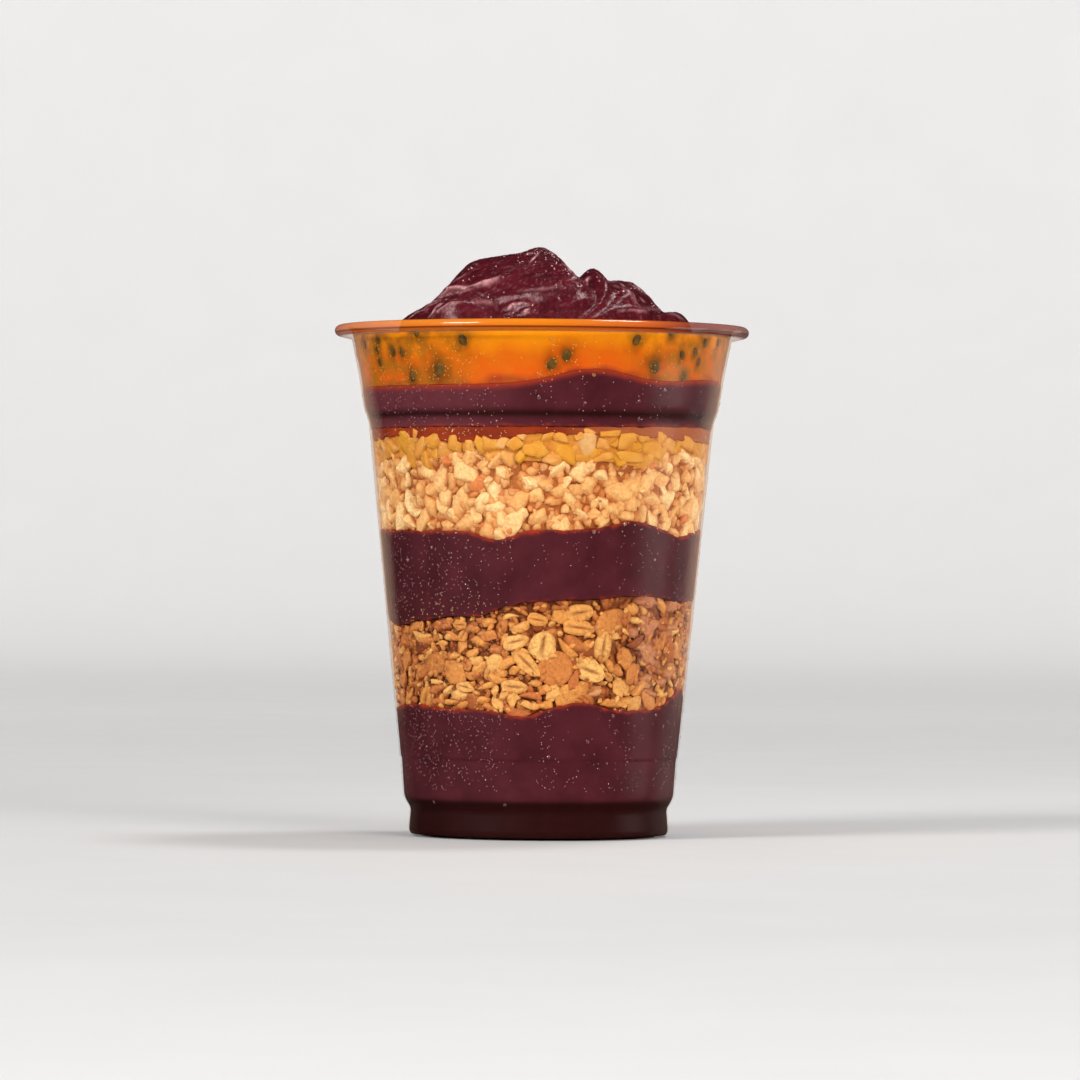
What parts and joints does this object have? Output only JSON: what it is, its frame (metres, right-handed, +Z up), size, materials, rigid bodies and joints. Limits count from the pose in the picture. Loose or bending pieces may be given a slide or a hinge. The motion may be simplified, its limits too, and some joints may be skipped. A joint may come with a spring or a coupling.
{
  "type": "layered acai cup",
  "caption": "Clear tapered cup filled with layers of acai, granola, chopped nuts, diced mango and passion fruit pulp, under a spooned mound of acai.",
  "frame": {"origin": "centre of the cup's foot, on the surface it stands on", "axes": "+Z up along the cup, -Y towards the front, +X to the right of someone who looks at the front"},
  "size_m": [0.098, 0.098, 0.139],
  "materials": {
    "clear_plastic": "clear gloss",
    "acai": "moist, half gloss",
    "granola": "toasted, dry",
    "nuts": "roasted, dry",
    "mango": "wet",
    "sauce": "wet",
    "passion_fruit_pulp": "wet"
  },
  "bodies": {
    "root": {"cup": "clear_plastic", "acai_bottom": "acai", "granola": "granola", "acai_middle": "acai", "chopped_nuts": "nuts", "mango_dice": "mango", "fruit_sauce": "sauce", "acai_upper": "acai", "passion_fruit_pulp": "passion_fruit_pulp", "acai_mound": "acai"}
  },
  "joints": []
}
